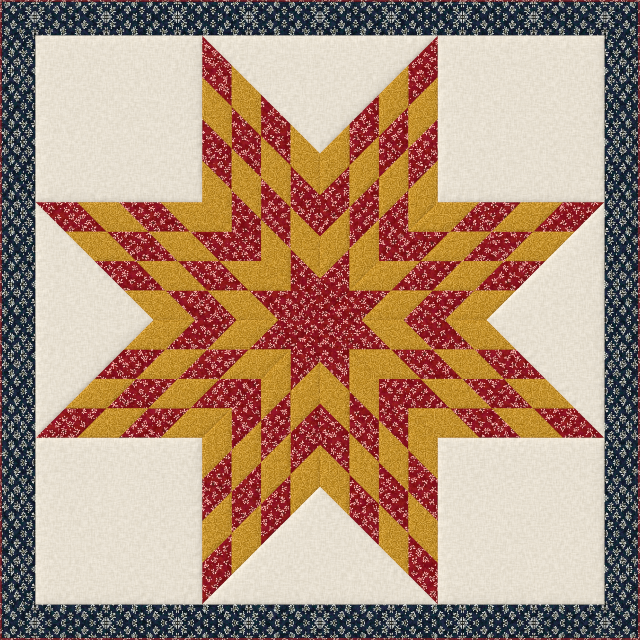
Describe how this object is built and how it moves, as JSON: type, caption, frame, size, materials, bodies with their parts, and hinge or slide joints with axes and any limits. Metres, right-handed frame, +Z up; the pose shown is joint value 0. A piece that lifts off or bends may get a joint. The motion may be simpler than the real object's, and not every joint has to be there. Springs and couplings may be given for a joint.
{
  "type": "star quilt blanket",
  "caption": "Square padded quilt blanket lying flat: a large star pieced from red print and gold diamonds on cream cloth, with a navy print border and a folded red binding.",
  "frame": {"origin": "middle of the quilt's underside, on the surface that it lies on", "axes": "+Z up out of the face, +Y to the top of the pattern, +X to the right of the pattern"},
  "size_m": [1.9328, 1.9328, 0.0105],
  "materials": {
    "star_patchwork": "red print and gold cotton, matte",
    "cream_cotton": "plain slubbed cotton, matte",
    "navy_print": "sprigged cotton print, matte",
    "red_print": "sprigged cotton print, matte"
  },
  "bodies": {
    "root": {"star_point_1": "star_patchwork", "star_point_2": "star_patchwork", "star_point_3": "star_patchwork", "star_point_4": "star_patchwork", "star_point_5": "star_patchwork", "star_point_6": "star_patchwork", "star_point_7": "star_patchwork", "star_point_8": "star_patchwork", "corner_square_1": "cream_cotton", "corner_square_2": "cream_cotton", "corner_square_3": "cream_cotton", "corner_square_4": "cream_cotton", "side_triangle_1": "cream_cotton", "side_triangle_2": "cream_cotton", "side_triangle_3": "cream_cotton", "side_triangle_4": "cream_cotton", "border_top": "navy_print", "border_bottom": "navy_print", "border_left": "navy_print", "border_right": "navy_print", "binding_top": "red_print", "binding_bottom": "red_print", "binding_left": "red_print", "binding_right": "red_print"}
  },
  "joints": []
}
